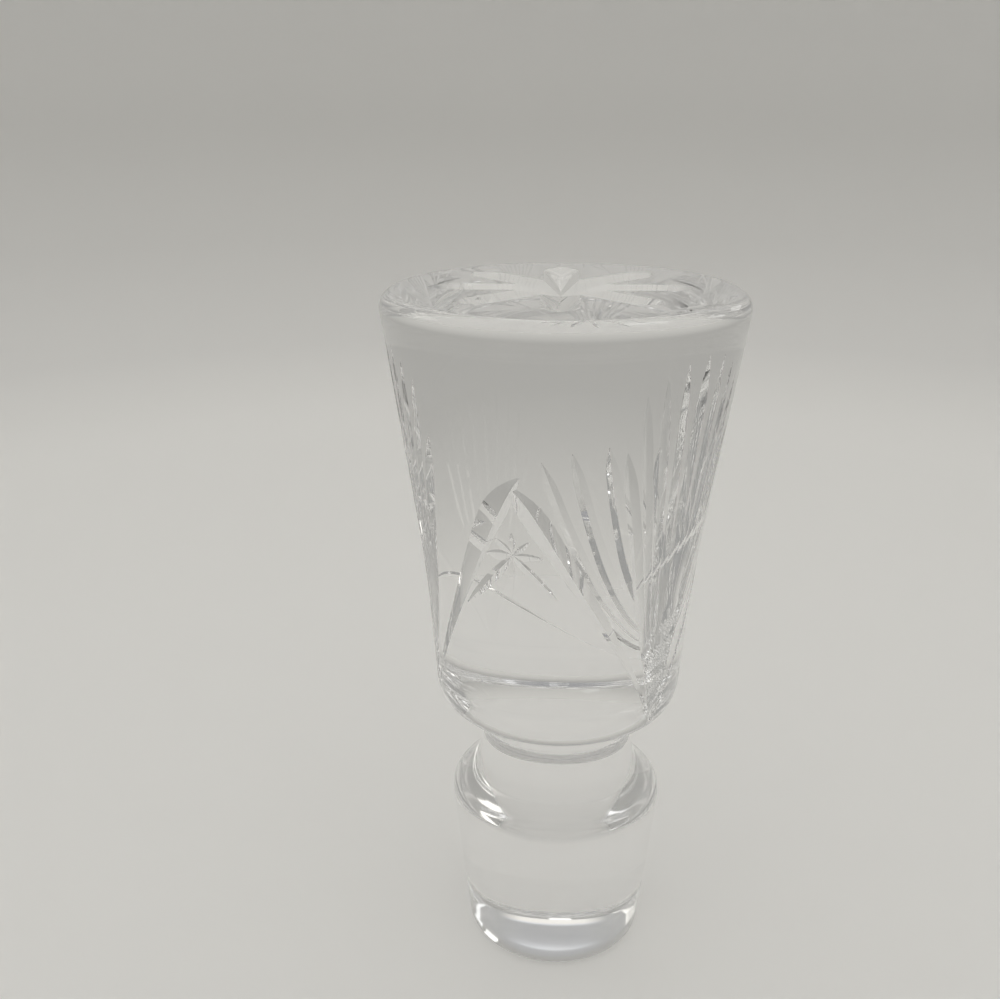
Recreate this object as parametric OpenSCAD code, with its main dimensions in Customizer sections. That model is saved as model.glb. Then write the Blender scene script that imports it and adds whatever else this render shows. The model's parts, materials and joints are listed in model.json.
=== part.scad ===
// Cut-glass stopper for a decanter or a wide-necked bottle.
// One solid piece of clear glass: a flared head with cut ornament, a hollowed
// waist, and a ground taper plug that wedges into the neck of the bottle.
// +Z is up. The origin is the middle of the plug's flat foot. Millimetres.

/* [Overall] */
// Height from the foot of the plug to the top face
height = 89.5; // [87:0.5:92]

/* [Head] */
// Diameter over the rim, the widest part of the head
rim_d = 43; // [42:0.5:44.5]
// Radius of the rounded rim between the side and the top face
rim_round = 1.9; // [1.4:0.1:2.4]
// Radius of the side at the foot of the head, above its rounding
foot_r = 15.95; // [15.5:0.05:16.4]
// Level of the sharp edge round the underside of the head
under_z = 36.8; // [36.3:0.1:37.3]
// Radius of that sharp edge
under_r = 14.3; // [13.8:0.1:14.6]
// Height of the rounding above the sharp edge
heel_h = 4; // [3.4:0.1:4.6]

/* [Waist] */
// Radius at the narrowest level
waist_r = 9.85; // [9.4:0.05:10.2]
// Level of the narrowest place
waist_z = 30.5; // [30:0.1:31]
// Radius of the hollow that runs round the waist
hollow_r = 10; // [9.6:0.1:10.6]

/* [Plug] */
// Diameter at the top of the ground taper
plug_top_d = 28; // [27.6:0.1:28.4]
// Diameter at the bottom of the ground taper
plug_foot_d = 24; // [23.6:0.1:24.6]
// Level of the soft edge where the taper ends
plug_top_z = 22.1; // [21.7:0.1:22.5]
// Bevel round the foot
foot_bevel = 1; // [0.4:0.1:1.2]

/* [Fans on the side] */
// Number of fans round the head
fans = 3; // [3:1:3]
// Turn of the first fan from the front, degrees
fan_turn = 46.5; // [0:0.5:90]
// Level of the point that the rays spring from
fan_z = 38.1; // [37.8:0.1:38.7]
// Half of the mitre wheel's included angle, degrees
mitre = 56; // [50:1:62]
// Width of the broad rays
broad_w = 1.75; // [1.4:0.05:2]
// Width of the fine rays
fine_w = 1.25; // [0.9:0.05:1.4]
// Width of the two outer rays that meet the next fan in an arch
arch_w = 3.15; // [2.6:0.05:3.3]
// Level of the point of each arch
arch_z = 72.4; // [70.5:0.1:74.5]
// Part of the full depth to which the fan at the back is cut
back_cut = 0.55; // [0.4:0.05:1]
// Part of the full rise of that fan's inner rays
back_rise = 0.7; // [0.6:0.05:1]

/* [Small star under each arch] */
// Level of the star's centre
star_z = 62.9; // [62:0.1:64]
// Turn of the star away from midway between two fans, degrees
star_turn = 3.1; // [0:0.1:4]
// Width of the star's rays
star_w = 1.1; // [0.8:0.05:1.3]

/* [Star on the top face] */
// Reach of the rays from the middle
top_reach = 15.6; // [13:0.1:17.5]
// Width of the rays
top_w = 4.3; // [3.2:0.1:4.6]
// Depth of the rays
top_depth = 1.1; // [0.7:0.05:1.2]
// How far the star's middle is off the axis, towards the left
top_off = 0.4; // [0:0.1:0.6]

/* [Hidden] */
$fn = 96;
rim_r = rim_d / 2;
rim_z = height - rim_round;
lift = 0.6;            // how far each cutting wheel stands out of the glass
clear = -0.12;         // depth at the two ends of a cut, where the wheel is clear of the glass

// Slope of the side: gentle above the heel, steeper above the knee.
knee_lo = 49.5;
knee_hi = 61.5;
slope_lo = 0.072;
slope_hi = (rim_r - foot_r - slope_lo * (knee_lo - under_z - heel_h)
            - slope_lo * (knee_hi - knee_lo) / 2)
           / (rim_z - knee_hi + (knee_hi - knee_lo) / 2);
heel_z = under_z + heel_h;
function side_r(z) =
    z <= knee_lo ? foot_r + slope_lo * (z - heel_z) :
    z <= knee_hi ? foot_r + slope_lo * (z - heel_z)
                   + (slope_hi - slope_lo) * pow(z - knee_lo, 2) / (2 * (knee_hi - knee_lo)) :
    rim_r - slope_hi * (rim_z - z);
// Radius of the outside of the head, its heel included
function head_r(z) = z >= heel_z ? side_r(z)
    : under_r + (foot_r - under_r) * sqrt(max(0, 1 - pow((heel_z - z) / heel_h, 2)));
// The waist is an arc hollowed out of the glass
function waist_at(z) = waist_r + hollow_r - sqrt(pow(hollow_r, 2) - pow(z - waist_z, 2));

profile = concat(
    [[0, 0], [plug_foot_d / 2 - foot_bevel, 0], [plug_foot_d / 2, foot_bevel]],
    [[plug_top_d / 2, plug_top_z - 1.6], [plug_top_d / 2 + 0.02, plug_top_z - 0.8],
     [plug_top_d / 2 - 0.1, plug_top_z - 0.25], [waist_at(plug_top_z + 0.4), plug_top_z + 0.4]],
    [for (i = [1 : 9]) let (z = plug_top_z + 0.4 + (under_z - plug_top_z - 0.4) * i / 9)
        [waist_at(z), z]],
    [for (i = [0 : 7]) let (a = 90 * (1 - i / 7), z = heel_z - heel_h * sin(a)) [head_r(z), z]],
    [for (z = [knee_lo : 3 : knee_hi]) [side_r(z), z]],
    [for (i = [0 : 6]) let (a = 90 * i / 6)
        [rim_r - rim_round + rim_round * cos(a), rim_z + rim_round * sin(a)]],
    [[0, height]]);

// A point on the side of the head, its outward normal and the way round it
function on_side(az, z) = [head_r(z) * sin(az), -head_r(z) * cos(az), z];
function lean_of(z) = atan2(head_r(z + 0.2) - head_r(z - 0.2), 0.4);
function out_of(az, z) = [cos(lean_of(z)) * sin(az), -cos(lean_of(z)) * cos(az), -sin(lean_of(z))];
function unit(v) = v / norm(v);

// A mitre groove: a wedge whose edge runs along the path of points p, with the
// outward normals n and the depths d. half is the wedge's angle on either side,
// on the right of the run first. Its ends run out to nothing.
module wedge(p, n, d, half) {
    c = len(p);
    run = [for (i = [0 : c - 1]) unit(p[min(i + 1, c - 1)] - p[max(i - 1, 0)])];
    side = [for (i = [0 : c - 1]) unit(cross(run[i], n[i]))];
    pts = [for (i = [0 : c - 1], k = [0 : 2])
        k == 0 ? p[i] - n[i] * d[i] :
        p[i] + n[i] * lift + side[i] * (k == 1 ? 1 : -1) * (d[i] + lift) * tan(half[k - 1])];
    polyhedron(pts, concat(
        [[0, 2, 1]], [[3 * c - 3, 3 * c - 2, 3 * c - 1]],
        [for (i = [0 : c - 2], k = [0 : 2]) let (a = 3 * i + k, b = 3 * i + (k + 1) % 3)
            [a, b, b + 3]],
        [for (i = [0 : c - 2], k = [0 : 2]) let (a = 3 * i + k, b = 3 * i + (k + 1) % 3)
            [a, b + 3, a + 3]]), convexity = 4);
}

// Depth of a cut along its run: it swells from its root to the full depth at
// u = full, and the wheel leaves the glass between u = off and u = 1.
function swell(u, depth, root, full, curve, off) =
    u <= 0 || u >= 1 ? clear :
    depth * (u < full ? root + (1 - root) * pow(u / full, curve) : 1)
    * (u > off ? 1 - pow((u - off) / (1 - off), 2) : 1);

// One ray of a fan. It springs from the fan's point and ends at level z1. Its
// sideways run for each unit of rise is lean + bend * u ^ power, u from 0 to 1.
module ray(az, lean, bend, power, z1, w, half, sw, stops) {
    t1 = z1 - fan_z;
    z = [for (u = stops) fan_z + u * t1];
    a = [for (i = [0 : len(stops) - 1])
        az + (lean + bend * pow(stops[i], power)) * stops[i] * t1 / head_r(z[i]) * 180 / PI];
    wedge([for (i = [0 : len(stops) - 1]) on_side(a[i], z[i])],
          [for (i = [0 : len(stops) - 1]) out_of(a[i], z[i])],
          [for (u = stops)
              swell(u, w / (tan(half[0]) + tan(half[1])), sw[0], sw[1], sw[2], sw[3])],
          half);
}

// The rays of one fan: [lean, bend, power, level of the tip, width, angles, swell, stops].
// The two outer ones are cut with the wheel tilted, so their flank inside the arch is steeper.
long_stops = [0, 0.04, 0.1, 0.2, 0.32, 0.46, 0.6, 0.74, 0.86, 0.92, 0.965, 1];
broad_stops = [0, 0.05, 0.12, 0.25, 0.48, 0.86, 0.93, 0.975, 1];
fine_stops = [0, 0.06, 0.15, 0.4, 0.86, 0.94, 1];
arch_swell = [0.12, 0.84, 1.6, 0.86];
ray_swell = [0.25, 0.5, 1, 0.86];
rays = concat(
    [[-0.42, -0.225, 0.75, arch_z - 0.6, arch_w, [mitre + 6.5, mitre - 12], arch_swell, long_stops]],
    [[0.55, 0.045, 6, arch_z + 0.3, arch_w, [mitre - 12, mitre + 6.5], arch_swell, long_stops]],
    [[0, 0, 1, 85.1, broad_w, [mitre, mitre], ray_swell, broad_stops]],
    [for (s = [-1, 1])
        [s * 0.215, s * 0.025, 1, 75.5, broad_w, [mitre, mitre], ray_swell, broad_stops]],
    [for (s = [-1, 1], k = [[0.055, 84.7], [0.113, 83.5], [0.168, 81.7]])
        [s * k[0], s * 0.01, 1, k[1], fine_w, [mitre, mitre], ray_swell, fine_stops]]);

// A short ray of a small star on the side, from its centre out:
// [direction from straight up, reach, part of the full width]
star_rays = [[0, 3, 0.8], [45, 3, 0.6], [90, 3.6, 0.9], [137, 7.5, 1],
             [183, 5.8, 0.7], [220, 10.2, 1.15], [268, 3.3, 1.2], [315, 2.9, 0.9]];
star_stops = [-0.16, 0, 0.2, 0.42, 0.7, 0.88, 1];
module star_ray(az, dir, reach, w) {
    z = [for (u = star_stops) star_z + u * reach * cos(dir)];
    a = [for (i = [0 : 6]) az + star_stops[i] * reach * sin(dir) / head_r(z[i]) * 180 / PI];
    wedge([for (i = [0 : 6]) on_side(a[i], z[i])],
          [for (i = [0 : 6]) out_of(a[i], z[i])],
          [for (u = star_stops) u < 0 || u >= 1 ? clear :
              w / 2 / tan(mitre) * (1 - pow((u - 0.42) / 0.58, 2))],
          [mitre, mitre]);
}

// One straight cut across the top face, through the middle of its star
top_stops = [-1, -0.97, -0.9, -0.8, 0, 0.8, 0.9, 0.97, 1];
module top_cut(dir) {
    half = atan2(top_w / 2, top_depth);
    wedge([for (u = top_stops) [u * top_reach * cos(dir) - top_off, u * top_reach * sin(dir), height]],
          [for (u = top_stops) [0, 0, 1]],
          [for (u = top_stops) u == 0 ? top_depth : swell(abs(u), top_depth, 1, 0.5, 1, 0.8)],
          [half, half]);
}

// The stopper as it is made: the blank, then one cut after another. Cut i is a
// ray of a fan, then a ray of a small star, and last the four across the top.
n_fan = len(rays);
n_side = n_fan + len(star_rays);
module cut(i) {
    j = i % n_side;
    az = fan_turn + floor(i / n_side) * 360 / fans;
    if (i >= fans * n_side) {
        top_cut(45 * (i - fans * n_side));
    } else if (j < n_fan) {
        r = rays[j];
        // the fan at the back is cut lighter, and its inner rays are shorter
        back = floor(i / n_side) == 1;
        rise = back && j > 1 ? back_rise : 1;
        ray(az, r[0], r[1], r[2], fan_z + (r[3] - fan_z) * rise, r[4] * (back ? back_cut : 1),
            r[5], r[6], r[7]);
    } else {
        s = star_rays[j - n_fan];
        star_ray(az + 180 / fans - star_turn, s[0], s[1], star_w * s[2]);
    }
}
module cut_glass(cuts) {
    if (cuts == 0) {
        rotate_extrude() polygon(profile);
    } else {
        difference() {
            cut_glass(cuts - 1);
            cut(cuts - 1);
        }
    }
}
module stopper() {
    color([0.86, 0.9, 0.9, 0.55]) cut_glass(fans * n_side + 4);
}

stopper();
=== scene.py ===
import json
import math

import bpy
import numpy as np
from mathutils import Matrix, Vector

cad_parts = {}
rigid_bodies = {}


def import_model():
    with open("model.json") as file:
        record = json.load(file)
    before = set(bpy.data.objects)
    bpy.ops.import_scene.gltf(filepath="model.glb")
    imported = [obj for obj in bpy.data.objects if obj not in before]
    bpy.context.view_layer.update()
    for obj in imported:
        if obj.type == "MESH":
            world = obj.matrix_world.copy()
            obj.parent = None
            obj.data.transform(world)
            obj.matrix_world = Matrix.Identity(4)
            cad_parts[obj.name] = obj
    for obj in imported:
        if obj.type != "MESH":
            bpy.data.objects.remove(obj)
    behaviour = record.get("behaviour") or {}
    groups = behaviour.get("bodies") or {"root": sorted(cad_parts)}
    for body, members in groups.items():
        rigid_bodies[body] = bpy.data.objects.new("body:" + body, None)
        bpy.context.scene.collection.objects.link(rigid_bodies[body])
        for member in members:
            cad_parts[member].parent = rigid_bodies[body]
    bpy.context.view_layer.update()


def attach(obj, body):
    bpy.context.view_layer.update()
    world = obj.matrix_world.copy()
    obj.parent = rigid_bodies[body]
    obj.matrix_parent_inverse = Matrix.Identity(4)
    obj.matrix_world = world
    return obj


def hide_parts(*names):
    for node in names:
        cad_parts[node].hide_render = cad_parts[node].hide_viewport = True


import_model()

MM = 0.001

# ---------------------------------------------------------------- the glass blank
# The same sizes as the CAD part, in millimetres.
HEIGHT = 89.5
RIM_R, RIM_ROUND = 21.5, 1.9
RIM_Z = HEIGHT - RIM_ROUND
FOOT_R, UNDER_Z, UNDER_R, HEEL_H = 15.95, 36.8, 14.3, 4.0
HEEL_Z = UNDER_Z + HEEL_H
WAIST_R, WAIST_Z, HOLLOW_R = 9.85, 30.5, 10.0
PLUG_TOP_R, PLUG_FOOT_R, PLUG_TOP_Z, BEVEL = 14.0, 12.0, 22.1, 1.0
KNEE_LO, KNEE_HI, SLOPE_LO = 49.5, 61.5, 0.072
SLOPE_HI = (
    RIM_R - FOOT_R - SLOPE_LO * (KNEE_LO - HEEL_Z) - SLOPE_LO * (KNEE_HI - KNEE_LO) / 2
) / (RIM_Z - KNEE_HI + (KNEE_HI - KNEE_LO) / 2)


def side_r(z):
    if z <= KNEE_LO:
        return FOOT_R + SLOPE_LO * (z - HEEL_Z)
    if z <= KNEE_HI:
        return (
            FOOT_R
            + SLOPE_LO * (z - HEEL_Z)
            + (SLOPE_HI - SLOPE_LO) * (z - KNEE_LO) ** 2 / (2 * (KNEE_HI - KNEE_LO))
        )
    return RIM_R - SLOPE_HI * (RIM_Z - z)


def head_r(z):
    if z >= HEEL_Z:
        return side_r(z)
    return UNDER_R + (FOOT_R - UNDER_R) * math.sqrt(
        max(0.0, 1 - ((HEEL_Z - z) / HEEL_H) ** 2)
    )


def waist_at(z):
    return WAIST_R + HOLLOW_R - math.sqrt(HOLLOW_R**2 - (z - WAIST_Z) ** 2)


def bezier(p0, p1, p2, n):
    return [
        tuple(
            (1 - t) ** 2 * a + 2 * t * (1 - t) * b + t * t * c
            for a, b, c in zip(p0, p1, p2)
        )
        for t in [i / n for i in range(1, n)]
    ]


def profile():
    """Outline (r, z) from the middle of the foot to the middle of the top, and the
    indices of its points where the surface has a true edge."""
    pts, sharp = [], set()

    def add(more, edge=False):
        pts.extend(more)
        if edge:
            sharp.add(len(pts) - 1)

    add([(0.0, 0.0)])
    add([(4.0, 0.0), (8.0, 0.0), (PLUG_FOOT_R - 1.22 * BEVEL, 0.0)])
    # a polished bevel with softened edges runs round the foot
    soft = 0.22 * BEVEL
    add(bezier((PLUG_FOOT_R - BEVEL - soft, 0.0), (PLUG_FOOT_R - BEVEL, 0.0), (PLUG_FOOT_R - BEVEL + soft, soft), 5))
    add([(PLUG_FOOT_R - BEVEL + soft, soft), (PLUG_FOOT_R - soft, BEVEL - soft)])
    add(bezier((PLUG_FOOT_R - soft, BEVEL - soft), (PLUG_FOOT_R, BEVEL), (PLUG_FOOT_R + soft * 0.1, BEVEL + soft), 5))
    add([(PLUG_FOOT_R + soft * 0.1, BEVEL + soft)])
    top = PLUG_TOP_Z - 1.6
    for i in range(1, 13):
        t = (i + 0.5) / 12.5
        add([(PLUG_FOOT_R + (PLUG_TOP_R - PLUG_FOOT_R) * t, BEVEL + (top - BEVEL) * t)])
    # soft shoulder between the ground taper and the hollow of the waist
    s_end = (waist_at(PLUG_TOP_Z + 0.55), PLUG_TOP_Z + 0.55)
    add(bezier((PLUG_TOP_R, top), (PLUG_TOP_R + 0.14, PLUG_TOP_Z + 0.05), s_end, 16))
    add([s_end])
    z0 = PLUG_TOP_Z + 0.55
    n = 52
    add([(waist_at(z0 + (UNDER_Z - z0) * i / n), z0 + (UNDER_Z - z0) * i / n) for i in range(1, n)])
    add([(waist_at(UNDER_Z), UNDER_Z)], True)
    add([(UNDER_R - 0.12, UNDER_Z)])
    n = 26
    for i in range(n + 1):
        a = math.radians(90 * (1 - i / n))
        z = HEEL_Z - HEEL_H * math.sin(a)
        if i == 0:
            z += 0.01
        add([(head_r(z), z)])
    add([(side_r(z), z) for z in (42.5, 44.5, 46.5, 48.0)])
    add([(side_r(KNEE_LO + i), KNEE_LO + i) for i in range(0, 13)])
    add([(side_r(z), z) for z in (64.5, 67.5, 70.5, 73.5, 76.5, 79.5, 82.5, 85.5)])
    n = 22
    start = math.degrees(math.atan(SLOPE_HI)) * -1.0
    for i in range(n + 1):
        a = math.radians(start + (90 - start) * i / n)
        add([(RIM_R - RIM_ROUND + RIM_ROUND * math.cos(a), RIM_Z + RIM_ROUND * math.sin(a))])
    add([(19.0, HEIGHT), (15.0, HEIGHT), (10.0, HEIGHT), (5.0, HEIGHT), (0.0, HEIGHT)])
    return pts, sharp


def polyline_normals(pts, sharp):
    """For every segment of the outline, the outward normals at its two ends."""
    p = np.array(pts)
    d = np.diff(p, axis=0)
    ln = np.linalg.norm(d, axis=1)
    n = np.stack([d[:, 1], -d[:, 0]], 1) / ln[:, None]
    out = np.zeros((len(d), 2, 2))
    for i in range(len(d)):
        for end in (0, 1):
            j = i + (1 if end else -1)
            at = i + end
            v = n[i].copy()
            if 0 <= j < len(d) and at not in sharp and float(n[i] @ n[j]) > 0.9:
                v = n[i] * ln[j] + n[j] * ln[i]
                v /= np.linalg.norm(v)
            out[i, end] = v
    return p, out


def revolve(pts, seg):
    """A closed mesh of the outline turned about Z."""
    ring, verts, faces = [], [], []
    for r, z in pts:
        if r < 1e-9:
            ring.append([len(verts)])
            verts.append((0, 0, z))
        else:
            ring.append(list(range(len(verts), len(verts) + seg)))
            verts += [
                (r * math.cos(2 * math.pi * k / seg), r * math.sin(2 * math.pi * k / seg), z)
                for k in range(seg)
            ]
    for a, b in zip(ring, ring[1:]):
        for k in range(seg):
            m = (k + 1) % seg
            if len(a) == 1:
                faces.append((a[0], b[m], b[k]))
            elif len(b) == 1:
                faces.append((a[k], a[m], b[0]))
            else:
                faces.append((a[k], a[m], b[m], b[k]))
    me = bpy.data.meshes.new("blank")
    me.from_pydata(verts, [], faces)
    me.update()
    return me


# ---------------------------------------------------------------- the cuts
MITRE = 56.0
FAN_Z, FAN_TURN = 38.1, 46.5
BACK_CUT, BACK_RISE = 0.55, 0.7  # the fan at the back is cut lighter and shorter
ARCH_Z, ARCH_W, BROAD_W, FINE_W = 72.4, 3.15, 1.75, 1.25
STAR_Z, STAR_W, STAR_TURN = 62.9, 1.1, 3.1
TOP_REACH, TOP_W, TOP_DEPTH, TOP_OFF = 15.6, 4.3, 1.1, 0.4
LIFT = 0.6
CLEAR = -0.12  # depth at the two ends of a cut, where the wheel is clear of the glass


def on_side(az, z):
    a = math.radians(az)
    return np.array([head_r(z) * math.sin(a), -head_r(z) * math.cos(a), z])


def out_of(az, z):
    a = math.radians(az)
    lean = math.atan2(head_r(z + 0.1) - head_r(z - 0.1), 0.2)
    c, s = math.cos(lean), math.sin(lean)
    return np.array([c * math.sin(a), -c * math.cos(a), -s])


def tangents(line, p):
    """Direction of a line at its points, p giving how far apart they are."""
    h = np.linalg.norm(np.diff(p, axis=0), axis=1)[:, None]
    g = np.diff(line, axis=0) / h
    mid = (g[:-1] * h[1:] + g[1:] * h[:-1]) / (h[1:] + h[:-1])
    return np.concatenate([g[:1], mid, g[-1:]])


def wedge(p, n, d, half):
    """A mitre groove as a closed mesh: vertices, faces, and its two flanks as strips
    of (foot of the flank, lean of the flank, normals at its foot and its brim)."""
    p, n, d = np.array(p), np.array(n), np.array(d)
    c = len(p)
    run = np.array([p[min(i + 1, c - 1)] - p[max(i - 1, 0)] for i in range(c)])
    run /= np.linalg.norm(run, axis=1)[:, None]
    side = np.cross(run, n)
    side /= np.linalg.norm(side, axis=1)[:, None]
    verts = []
    for i in range(c):
        verts.append(p[i] - n[i] * d[i])
        for k in (0, 1):
            s = 1 if k == 0 else -1
            verts.append(
                p[i] + n[i] * LIFT + side[i] * s * (d[i] + LIFT) * math.tan(math.radians(half[k]))
            )
    faces = [(0, 1, 2), (3 * c - 3, 3 * c - 1, 3 * c - 2)]
    for i in range(c - 1):
        for k in range(3):
            a, b = 3 * i + k, 3 * i + (k + 1) % 3
            faces.append((a, a + 3, b + 3, b))
    v = np.array(verts).reshape(c, 3, 3)
    flanks = []
    for k in (1, 2):
        foot, brim = v[:, 0], v[:, k]
        lean = brim - foot
        strip = []
        for line in (foot, brim):
            nn = np.cross(tangents(line, p), lean)
            strip.append(nn / np.linalg.norm(nn, axis=1)[:, None])
        flanks.append((foot, lean, strip[0], strip[1]))
    return verts, faces, flanks


def swell(u, root, full, curve, off):
    v = root + (1 - root) * (u / full) ** curve if u < full else 1.0
    return v * (1 - ((u - off) / (1 - off)) ** 2 if u > off else 1.0)


def stops(n, off):
    """Stations along a cut, closer at its root and where the wheel leaves the glass."""
    a = [0.5 * off * (2 * i / n) ** 1.6 if i <= n / 2 else off * i / n for i in range(n)]
    b = [off + (1 - off) * math.sin(math.pi / 2 * i / 7) for i in range(8)]
    return a + b


def ray(az, lean, bend, power, z1, w, half, sw, n):
    t1 = z1 - FAN_Z
    p, nn, d = [], [], []
    for u in stops(n, sw[3]):
        z = FAN_Z + u * t1
        a = az + math.degrees((lean + bend * u**power) * u * t1 / head_r(z))
        p.append(on_side(a, z))
        nn.append(out_of(a, z))
        full = w / (math.tan(math.radians(half[0])) + math.tan(math.radians(half[1])))
        d.append(full * swell(u, *sw) if 0 < u < 1 else CLEAR)
    return wedge(p, nn, d, half)


ARCH_SWELL = (0.12, 0.84, 1.6, 0.86)
ARCH_SWELL_BACK = (0.02, 0.84, 2.6, 0.86)
RAY_SWELL = (0.25, 0.5, 1.0, 0.86)
EVEN = (MITRE, MITRE)
RAYS = [
    (-0.42, -0.225, 0.75, ARCH_Z - 0.6, ARCH_W, (MITRE + 6.5, MITRE - 12), ARCH_SWELL, 24),
    (0.55, 0.045, 6, ARCH_Z + 0.3, ARCH_W, (MITRE - 12, MITRE + 6.5), ARCH_SWELL, 24),
    (0, 0, 1, 85.1, BROAD_W, EVEN, RAY_SWELL, 14),
]
for _s in (-1, 1):
    RAYS.append((_s * 0.215, _s * 0.025, 1, 75.5, BROAD_W, EVEN, RAY_SWELL, 14))
    for _l, _z in ((0.055, 84.7), (0.113, 83.5), (0.168, 81.7)):
        RAYS.append((_s * _l, _s * 0.01, 1, _z, FINE_W, EVEN, RAY_SWELL, 14))
STAR_RAYS = [
    (0, 3, 0.8), (45, 3, 0.6), (90, 3.6, 0.9), (137, 7.5, 1),
    (183, 5.8, 0.7), (220, 10.2, 1.15), (268, 3.3, 1.2), (315, 2.9, 0.9),
]


def star_ray(az, direction, reach, w):
    p, nn, d = [], [], []
    e = math.radians(direction)
    for u in (-0.16, 0, 0.07, 0.14, 0.21, 0.28, 0.35, 0.42, 0.5, 0.58, 0.66, 0.74, 0.82, 0.9, 0.96, 1):
        z = STAR_Z + u * reach * math.cos(e)
        a = az + math.degrees(u * reach * math.sin(e) / head_r(z))
        p.append(on_side(a, z))
        nn.append(out_of(a, z))
        full = w / 2 / math.tan(math.radians(MITRE))
        d.append(full * (1 - ((u - 0.42) / 0.58) ** 2) if 0 <= u < 1 else CLEAR)
    return wedge(p, nn, d, EVEN)


def top_cut(direction):
    half = math.degrees(math.atan2(TOP_W / 2, TOP_DEPTH))
    e = math.radians(direction)
    us = sorted({0.0} | {s * v for s in (-1, 1) for v in (0.2, 0.4, 0.6, 0.7, 0.8, 0.84, 0.88, 0.91, 0.94, 0.965, 0.985, 1.0)})
    p = [np.array([u * TOP_REACH * math.cos(e) - TOP_OFF, u * TOP_REACH * math.sin(e), HEIGHT]) for u in us]
    return wedge(p, [np.array([0, 0, 1.0])] * len(us), [TOP_DEPTH * swell(abs(u), 1, 0.5, 1, 0.8) if abs(u) < 1 else CLEAR for u in us], (half, half))


def all_cuts():
    out = []
    for k in range(3):
        az = FAN_TURN + 120 * k
        for i, (lean, bend, power, z1, w, half, sw, n) in enumerate(RAYS):
            if k == 1:
                w *= BACK_CUT
                if i > 1:
                    z1 = FAN_Z + (z1 - FAN_Z) * BACK_RISE
                else:
                    sw = ARCH_SWELL_BACK
                if i == 2:
                    w *= 0.5
            out.append(ray(az, lean, bend, power, z1, w, half, sw, n))
        out += [star_ray(az + 60 - STAR_TURN, s[0], s[1], STAR_W * s[2]) for s in STAR_RAYS]
    out += [top_cut(45 * k) for k in range(4)]
    return out


def cut_glass(seg):
    """The blank with every cut taken out of it, as a mesh in millimetres; finish_glass turns it into metres."""
    col = bpy.data.collections.new("wheels")
    bpy.context.scene.collection.children.link(col)
    m_body = bpy.data.materials.new("tmp_body")
    strips = []
    pts, sharp = profile()
    body = bpy.data.objects.new("blank", revolve(pts, seg))
    body.data.materials.append(m_body)
    bpy.context.scene.collection.objects.link(body)
    for i, (v, f, flanks) in enumerate(all_cuts()):
        me = bpy.data.meshes.new("wheel")
        me.from_pydata([tuple(map(float, q)) for q in v], [], f)
        for k in (0, 1):
            me.materials.append(bpy.data.materials.new("tmp_%d" % len(strips)))
            strips.append(flanks[k])
        # faces run in threes along the cut: one flank, the open top, the other flank
        me.polygons.foreach_set("material_index", [0, 0] + [0, 0, 1] * ((len(f) - 2) // 3))
        me.update()
        o = bpy.data.objects.new("wheel", me)
        col.objects.link(o)
    mod = body.modifiers.new("cut", "BOOLEAN")
    mod.operation = "DIFFERENCE"
    mod.operand_type = "COLLECTION"
    mod.collection = col
    mod.solver = "MANIFOLD"
    mod.material_mode = "TRANSFER"
    dg = bpy.context.evaluated_depsgraph_get()
    me = bpy.data.meshes.new_from_object(body.evaluated_get(dg))
    for o in list(col.objects):
        bpy.data.objects.remove(o, do_unlink=True)
    bpy.data.collections.remove(col)
    bpy.data.objects.remove(body, do_unlink=True)
    return me, pts, sharp, strips


def flank_normals(strip, v):
    """Smooth normals of one flank of a cut at the points v."""
    foot, lean, n0, n1 = strip
    a, b = foot[:-1], foot[1:]
    mid = v[:, None, :] - a[None]
    # slice the strip by planes that hold the lean of the flank
    run = b - a
    ln = lean / np.linalg.norm(lean, axis=1)[:, None]
    l0 = ln[:-1]
    flat = run - (run * l0).sum(1)[:, None] * l0
    t = (mid * flat[None]).sum(2) / (flat**2).sum(1)[None]
    off = mid - t[..., None] * run[None]
    off -= (off * l0[None]).sum(2)[..., None] * l0[None]
    miss = (off**2).sum(2) + (np.clip(t, 0, 1) - t) ** 2 * (run**2).sum(1)[None]
    i = miss.argmin(1)
    k = np.arange(len(v))
    u = np.clip(t[k, i], 0, 1)[:, None]
    base = a[i] * (1 - u) + b[i] * u
    e = lean[i] * (1 - u) + lean[i + 1] * u
    s = np.clip(((v - base) * e).sum(1) / (e**2).sum(1), 0, 1)[:, None]
    lo = n0[i] * (1 - u) + n0[i + 1] * u
    hi = n1[i] * (1 - u) + n1[i + 1] * u
    n = lo * (1 - s) + hi * s
    return n / np.linalg.norm(n, axis=1)[:, None]


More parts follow.
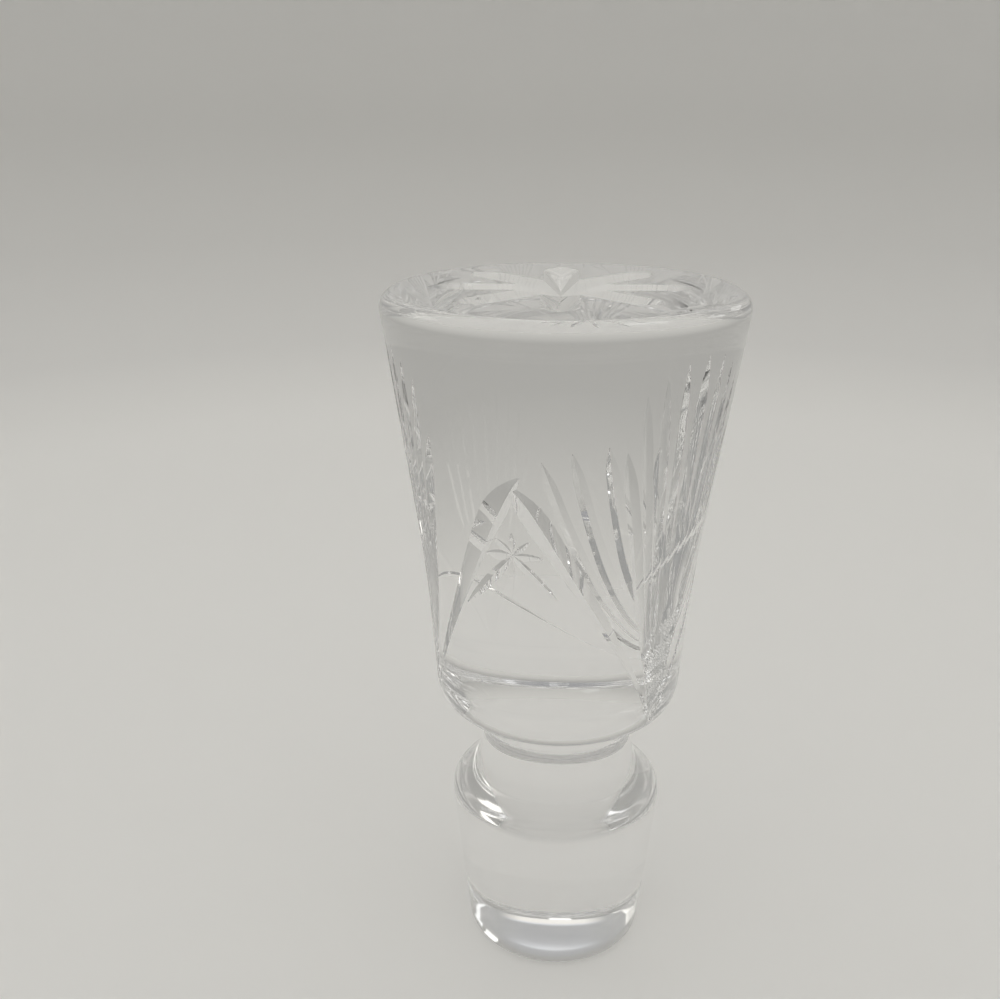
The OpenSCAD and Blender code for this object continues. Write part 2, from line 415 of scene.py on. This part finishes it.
def finish_glass(me, pts, sharp, strips):
    """Metres, true normals of the turned surface and of the cuts, and every face on material index 0 with the
    temporary materials cleared.
    """
    slot_of = {m.name: i for i, m in enumerate(me.materials) if m}
    nv, nl, nf = len(me.vertices), len(me.loops), len(me.polygons)
    co = np.zeros(nv * 3)
    me.vertices.foreach_get("co", co)
    co = co.reshape(-1, 3)
    mi = np.zeros(nf, np.int32)
    me.polygons.foreach_get("material_index", mi)
    start, total = np.zeros(nf, np.int32), np.zeros(nf, np.int32)
    me.polygons.foreach_get("loop_start", start)
    me.polygons.foreach_get("loop_total", total)
    lv, le = np.zeros(nl, np.int32), np.zeros(nl, np.int32)
    me.loops.foreach_get("vertex_index", lv)
    me.loops.foreach_get("edge_index", le)
    fn = np.zeros(nf * 3)
    me.polygons.foreach_get("normal", fn)
    fn = fn.reshape(-1, 3)
    face_of = np.repeat(np.arange(nf), total)
    body = mi == slot_of["tmp_body"]

    # edges that stay crisp: where a cut meets the body, and where flanks meet
    first = np.full(len(me.edges), -1)
    second = np.full(len(me.edges), -1)
    first[le[::-1]] = face_of[::-1]
    second[le] = face_of
    f0, f1 = first, second
    crisp = (mi[f0] != mi[f1]) | (f0 == f1)
    turned = body[f0] & body[f1]
    crisp |= turned & (np.einsum("ij,ij->i", fn[f0], fn[f1]) < math.cos(math.radians(11)))
    attr = me.attributes.get("sharp_edge") or me.attributes.new("sharp_edge", "BOOLEAN", "EDGE")
    attr.data.foreach_set("value", crisp)
    me.polygons.foreach_set("use_smooth", np.ones(nf, bool))

    # the turned surface gets the normals of its outline
    p, ends = polyline_normals(pts, sharp)
    a, b = p[:-1], p[1:]
    ab = b - a
    ab2 = (ab**2).sum(1)
    cen = np.add.reduceat(co[lv], start, axis=0) / total[:, None]
    normals = np.zeros((nl, 3))
    idx = np.nonzero(body)[0]
    q = np.stack([np.hypot(cen[idx, 0], cen[idx, 1]), cen[idx, 2]], 1)
    seg = np.zeros(len(idx), int)
    for k in range(0, len(idx), 4000):
        d = q[k : k + 4000, None, :] - a[None]
        t = np.clip((d * ab[None]).sum(2) / ab2[None], 0, 1)
        away = ((d - t[..., None] * ab[None]) ** 2).sum(2)
        seg[k : k + 4000] = away.argmin(1)
    seg_of = np.full(nf, -1)
    seg_of[idx] = seg
    on = np.nonzero(seg_of[face_of] >= 0)[0]
    sg = seg_of[face_of[on]]
    v = co[lv[on]]
    r = np.hypot(v[:, 0], v[:, 1])
    rel = np.stack([r, v[:, 2]], 1) - a[sg]
    t = np.clip((rel * ab[sg]).sum(1) / ab2[sg], 0, 1)[:, None]
    n2 = ends[sg, 0] * (1 - t) + ends[sg, 1] * t
    n2 /= np.linalg.norm(n2, axis=1)[:, None]
    safe = np.where(r < 1e-6, 1.0, r)
    normals[on] = np.stack([n2[:, 0] * v[:, 0] / safe, n2[:, 0] * v[:, 1] / safe, n2[:, 1]], 1)
    # and each flank of a cut gets the smooth normals of the run of the wheel
    mloop = mi[face_of]
    for k, strip in enumerate(strips):
        if "tmp_%d" % k not in slot_of:
            continue
        on = np.nonzero(mloop == slot_of["tmp_%d" % k])[0]
        if len(on) == 0:
            continue
        n = flank_normals(strip, co[lv[on]])
        n *= np.where((n * fn[face_of[on]]).sum(1) < 0, -1.0, 1.0)[:, None]
        normals[on] = n
    me.vertices.foreach_set("co", (co * MM).astype(np.float32).ravel())
    me.update()
    me.normals_split_custom_set(normals.tolist())
    me.polygons.foreach_set("material_index", np.zeros(nf, np.int32))
    me.materials.clear()
    return me


glass_mesh, outline, edges, flank_strips = cut_glass(384)
finish_glass(glass_mesh, outline, edges, flank_strips)
stopper = bpy.data.objects.new("stopper_glass", glass_mesh)
bpy.context.scene.collection.objects.link(stopper)


# ---------------------------------------------------------------- materials
def nodes_of(name):
    mat = bpy.data.materials.new(name)
    mat.use_nodes = True
    nt = mat.node_tree
    nt.nodes.clear()
    out = nt.nodes.new("ShaderNodeOutputMaterial")
    bsdf = nt.nodes.new("ShaderNodeBsdfPrincipled")
    nt.links.new(bsdf.outputs[0], out.inputs["Surface"])
    return mat, nt, bsdf, out


def add(nt, kind, **values):
    n = nt.nodes.new(kind)
    for k, v in values.items():
        if k in n.inputs:
            n.inputs[k].default_value = v
        else:
            setattr(n, k, v)
    return n


def ramp(nt, source, stops_, interp="LINEAR"):
    n = nt.nodes.new("ShaderNodeValToRGB")
    n.color_ramp.interpolation = interp
    e = n.color_ramp.elements
    while len(e) > 1:
        e.remove(e[-1])
    for i, (at, c) in enumerate(stops_):
        c = (c, c, c, 1) if isinstance(c, (int, float)) else (*c, 1)
        if i == 0:
            e[0].position, e[0].color = at, c
        else:
            k = e.new(at)
            k.color = c
    nt.links.new(source, n.inputs["Fac"])
    return n


def crystal():
    mat, nt, bsdf, out = nodes_of("clear_lead_glass")
    bsdf.inputs["Base Color"].default_value = (0.985, 0.985, 0.985, 1)
    bsdf.inputs["Transmission Weight"].default_value = 1.0
    bsdf.inputs["IOR"].default_value = 1.545
    pos = add(nt, "ShaderNodeNewGeometry")
    # the ground plug is polished a little less than the head
    sep = add(nt, "ShaderNodeSeparateXYZ")
    nt.links.new(pos.outputs["Position"], sep.inputs[0])
    smear = add(nt, "ShaderNodeTexNoise", Scale=160.0, Detail=3.0, Roughness=0.55)
    nt.links.new(pos.outputs["Position"], smear.inputs["Vector"])
    zone = add(nt, "ShaderNodeMapRange")
    zone.inputs["From Min"].default_value = 0.0227
    zone.inputs["From Max"].default_value = 0.0213
    zone.inputs["To Min"].default_value = 0.0
    zone.inputs["To Max"].default_value = 0.028
    nt.links.new(sep.outputs["Z"], zone.inputs["Value"])
    patch = add(nt, "ShaderNodeMapRange")
    patch.inputs["From Min"].default_value = 0.35
    patch.inputs["From Max"].default_value = 0.7
    patch.inputs["To Min"].default_value = 0.004
    patch.inputs["To Max"].default_value = 0.018
    nt.links.new(smear.outputs[0], patch.inputs["Value"])
    rough = add(nt, "ShaderNodeMath", operation="ADD")
    nt.links.new(zone.outputs[0], rough.inputs[0])
    nt.links.new(patch.outputs[0], rough.inputs[1])
    nt.links.new(rough.outputs[0], bsdf.inputs["Roughness"])
    # hand polishing leaves a very slight wave in the surface
    wave = add(nt, "ShaderNodeTexNoise", Scale=95.0, Detail=1.0, Roughness=0.4)
    nt.links.new(pos.outputs["Position"], wave.inputs["Vector"])
    bump = add(nt, "ShaderNodeBump", Strength=1.0, Distance=0.000012)
    nt.links.new(wave.outputs[0], bump.inputs["Height"])
    nt.links.new(bump.outputs[0], bsdf.inputs["Normal"])
    return mat


stopper.data.materials.append(crystal())
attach(stopper, "root")
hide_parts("stopper")

# ---------------------------------------------------------------- floor and soft studio
def card_with_painted_shade():
    """Floor and backdrop in one: pale card, with painted shade that makes it greyer up the cove and the wall,
    standing in for the overhead light falling less on the wall.
    """
    mat, nt, bsdf, out = nodes_of("pale_card_painted_shade")
    bsdf.inputs["Roughness"].default_value = 0.95
    bsdf.inputs["Specular IOR Level"].default_value = 0.0
    pos = add(nt, "ShaderNodeNewGeometry")
    sep = add(nt, "ShaderNodeSeparateXYZ")
    nt.links.new(pos.outputs["Position"], sep.inputs[0])
    up = add(nt, "ShaderNodeMapRange")
    up.inputs["From Min"].default_value = 0.0
    up.inputs["From Max"].default_value = 0.4
    nt.links.new(sep.outputs["Z"], up.inputs["Value"])
    # painted shade: the card's colour darkens with height, lightest on the floor
    tone = ramp(nt, up.outputs[0], [
        (0.0, (0.82, 0.815, 0.795)), (0.02, (0.775, 0.77, 0.75)), (0.05, (0.715, 0.71, 0.695)),
        (0.14, (0.675, 0.67, 0.655)), (0.3, (0.69, 0.685, 0.67)), (0.42, (0.67, 0.665, 0.65)),
        (0.6, (0.58, 0.578, 0.565)), (1.0, (0.52, 0.52, 0.51)),
    ])
    nt.links.new(tone.outputs[0], bsdf.inputs["Base Color"])
    return mat


def sweep(name, outline_rz, seg):
    """A surface turned about Z from points (r, z) in metres."""
    verts, faces = [], []
    for r, z in outline_rz:
        verts += [
            (r * math.cos(2 * math.pi * k / seg), r * math.sin(2 * math.pi * k / seg), z)
            for k in range(seg)
        ]
    for i in range(len(outline_rz) - 1):
        for k in range(seg):
            a0, b0 = i * seg + k, i * seg + (k + 1) % seg
            faces.append((a0, b0, b0 + seg, a0 + seg))
    me = bpy.data.meshes.new(name)
    me.from_pydata(verts, [], faces)
    me.validate()
    me.polygons.foreach_set("use_smooth", np.ones(len(me.polygons), bool))
    o = bpy.data.objects.new(name, me)
    o.location = (0, 0, -0.0001)  # a hair of air under the glass, as on any table
    bpy.context.scene.collection.objects.link(o)
    return o


FLOOR_R, COVE = 0.24, 0.10
rz = [(0.0, 0.0)] + [(FLOOR_R * i / 6, 0.0) for i in range(1, 7)]
rz += [(FLOOR_R + COVE * math.sin(math.radians(a)), COVE * (1 - math.cos(math.radians(a)))) for a in range(6, 91, 6)]
rz += [(FLOOR_R + COVE, COVE + 0.7 * i / 4) for i in range(1, 5)]
cove = sweep("studio_sweep", rz, 96)
cove.data.materials.append(card_with_painted_shade())


def area(name, loc, target, size, power, color=(1, 1, 1), in_glass=True):
    data = bpy.data.lights.new(name, "AREA")
    data.shape = "RECTANGLE"
    data.size, data.size_y = size
    data.energy = power
    data.color = color
    o = bpy.data.objects.new(name, data)
    o.location = loc
    o.rotation_mode = "QUATERNION"
    o.rotation_quaternion = (Vector(target) - Vector(loc)).to_track_quat("-Z", "Y")
    bpy.context.scene.collection.objects.link(o)
    if not in_glass:  # lights the card only: no image of itself in the glass, no hard shadow of it
        o.visible_glossy = False
        o.visible_transmission = False
        only = bpy.data.collections.new(name + "_blockers")
        only.objects.link(cove)
        o.light_linking.blocker_collection = only
    return o


area("top_soft", (0.0, 0.12, 0.8), (0, 0.05, 0), (0.8, 0.8), 4.65, (1.0, 0.99, 0.97), False)


def around(az, el, dist):
    """A place at a distance from the middle of the head, az 0 in front and 90 on the right."""
    a, e = math.radians(az), math.radians(el)
    return (
        dist * math.cos(e) * math.sin(a),
        -dist * math.cos(e) * math.cos(a),
        0.045 + dist * math.sin(e),
    )


def sparkle(name, az, el, dist, size, radiance, color):
    """A small window of light that only the glass sees."""
    o = area(name, around(az, el, dist), (0, 0, 0.045), size, radiance * math.pi * size[0] * size[1], color)
    o.visible_camera = False
    o.visible_diffuse = False
    return o


sparkle("window_right", 121, 37.2, 0.314, (0.061, 0.062), 1.0, (0.98, 0.99, 1.0))
sparkle("window_foot", 139, 28.4, 0.291, (0.055, 0.050), 0.95, (1.0, 0.99, 0.97))
sparkle("window_back", 185, 44.7, 0.281, (0.052, 0.044), 0.9, (1.0, 0.99, 0.97))
sparkle("window_left", 246, 41, 0.31, (0.13, 0.06), 1.15, (1.0, 0.98, 0.92))
sparkle("window_high", 113, 66, 0.31, (0.07, 0.07), 1.6, (1.0, 1.0, 1.0))


def ribbon(name, outline_rz, az0, az1, tones):
    """A curved card of plain light that only the glass sees; its tones change with height."""
    me = bpy.data.meshes.new(name)
    sv, sf = [], []
    n, m = 48, len(outline_rz)
    for i in range(n + 1):
        a = math.radians(az0 + (az1 - az0) * i / n)
        sv += [(r * math.sin(a), -r * math.cos(a), z) for r, z in outline_rz]
        if i:
            for j in range(m - 1):
                b = m * i + j
                sf.append((b - m, b, b + 1, b - m + 1))
    me.from_pydata(sv, [], sf)
    z0, z1 = outline_rz[0][1], outline_rz[-1][1]
    o = bpy.data.objects.new(name, me)
    bpy.context.scene.collection.objects.link(o)
    mat = bpy.data.materials.new(name + "_light")
    mat.use_nodes = True
    nt = mat.node_tree
    nt.nodes.clear()
    out = nt.nodes.new("ShaderNodeOutputMaterial")
    em = nt.nodes.new("ShaderNodeEmission")
    pos = nt.nodes.new("ShaderNodeNewGeometry")
    sep = nt.nodes.new("ShaderNodeSeparateXYZ")
    up = add(nt, "ShaderNodeMapRange")
    up.inputs["From Min"].default_value = z0
    up.inputs["From Max"].default_value = z1
    nt.links.new(pos.outputs["Position"], sep.inputs[0])
    nt.links.new(sep.outputs["Z"], up.inputs["Value"])
    tone = ramp(nt, up.outputs[0], [(u, (c[0], c[1], c[2])) for u, c in tones])
    nt.links.new(tone.outputs[0], em.inputs["Color"])
    nt.links.new(em.outputs[0], out.inputs["Surface"])
    me.materials.append(mat)
    o.visible_camera = False
    o.visible_diffuse = False
    o.visible_shadow = False
    return nt, em, tone, sep


def grey(v, warm=0.0):
    return (v, v * (1 - 0.3 * warm), v * (1 - warm))


# a thin curved strip light behind, seen in the foot of the plug
nt_s, em_s, tone_s, sep_s = ribbon("studio_strip", [(0.226, 0.192), (0.226, 0.245)], 122, 238, [
    (0.0, grey(0.42)), (0.29, grey(0.43)), (0.34, (0.74, 0.77, 0.82)), (0.44, (0.98, 0.95, 0.88)),
    (0.8, (0.98, 0.96, 0.90)), (1.0, (0.7, 0.7, 0.7)),
])
side_x = add(nt_s, "ShaderNodeMath")
side_x.operation = "ABSOLUTE"
nt_s.links.new(sep_s.outputs["X"], side_x.inputs[0])
fade = add(nt_s, "ShaderNodeMapRange")
fade.inputs["From Min"].default_value = 0.075
fade.inputs["From Max"].default_value = 0.135
nt_s.links.new(side_x.outputs[0], fade.inputs["Value"])
mix = nt_s.nodes.new("ShaderNodeMix")
mix.data_type = "RGBA"
nt_s.links.new(fade.outputs[0], mix.inputs[0])
nt_s.links.new(tone_s.outputs[0], mix.inputs[6])
mix.inputs[7].default_value = (0.43, 0.43, 0.42, 1)
nt_s.links.new(mix.outputs[2], em_s.inputs["Color"])

# a glowing sheet that only the glass sees: a painted reflection of the grey far end of the room, darker behind the
# camera
nt_f, em_f, tone_f, sep_f = ribbon("far_room_painted_reflection", [(0.19, 0.0015), (0.30, 0.022), (0.30, 0.06), (0.30, 0.15), (0.30, 0.26)], 0, 360, [
    (0.0, (0.575, 0.565, 0.53)), (0.079, (0.47, 0.462, 0.435)), (0.19, (0.40, 0.393, 0.37)),
    (0.34, (0.375, 0.368, 0.348)), (0.575, (0.385, 0.38, 0.36)), (1.0, (0.385, 0.38, 0.36)),
])
# painted reflection: the sheet glows darker towards the camera side, above the floor only
front = add(nt_f, "ShaderNodeMapRange")
front.interpolation_type = "SMOOTHSTEP"
front.inputs["From Min"].default_value = 0.02
front.inputs["From Max"].default_value = -0.27
nt_f.links.new(sep_f.outputs["Y"], front.inputs["Value"])
lift = add(nt_f, "ShaderNodeMapRange")  # only above the floor
lift.inputs["From Min"].default_value = 0.01
lift.inputs["From Max"].default_value = 0.06
nt_f.links.new(sep_f.outputs["Z"], lift.inputs["Value"])
both = add(nt_f, "ShaderNodeMath")
both.operation = "MULTIPLY"
nt_f.links.new(front.outputs[0], both.inputs[0])
nt_f.links.new(lift.outputs[0], both.inputs[1])
mix_f = nt_f.nodes.new("ShaderNodeMix")
mix_f.data_type = "RGBA"
nt_f.links.new(both.outputs[0], mix_f.inputs[0])
nt_f.links.new(tone_f.outputs[0], mix_f.inputs[6])
mix_f.inputs[7].default_value = (0.31, 0.31, 0.30, 1)
nt_f.links.new(mix_f.outputs[2], em_f.inputs["Color"])

world = bpy.data.worlds.new("room")
bpy.context.scene.world = world
world.use_nodes = True
bg = world.node_tree.nodes["Background"]
bg.inputs["Color"].default_value = (0.98, 0.98, 1.0, 1)
bg.inputs["Strength"].default_value = 0.34

# ---------------------------------------------------------------- camera
cam_data = bpy.data.cameras.new("camera")
cam_data.sensor_fit = "HORIZONTAL"
cam_data.sensor_width = 36.0
cam_data.lens = 1063.82 / 1000 * 36.0
cam_data.clip_start, cam_data.clip_end = 0.005, 20.0
cam = bpy.data.objects.new("camera", cam_data)
psi, th, ro = math.radians(3.474), math.radians(20.707), math.radians(-0.19)
F = Vector((-math.sin(psi) * math.cos(th), math.cos(psi) * math.cos(th), -math.sin(th)))
R = Vector((math.cos(psi), math.sin(psi), 0))
U = R.cross(F)
R2 = math.cos(ro) * R + math.sin(ro) * U
U2 = -math.sin(ro) * R + math.cos(ro) * U
rot = Matrix((R2, U2, -F)).transposed()
cam.rotation_mode = "QUATERNION"
cam.rotation_quaternion = rot.to_quaternion()
cam.location = (0.0, -0.124396, 0.110118)
bpy.context.scene.collection.objects.link(cam)
bpy.context.scene.camera = cam
scene = bpy.context.scene
scene.view_settings.view_transform = "Standard"
# light runs round and round inside cut glass before it leaves
scene.cycles.max_bounces = 24
scene.cycles.glossy_bounces = 22
scene.cycles.transmission_bounces = 24
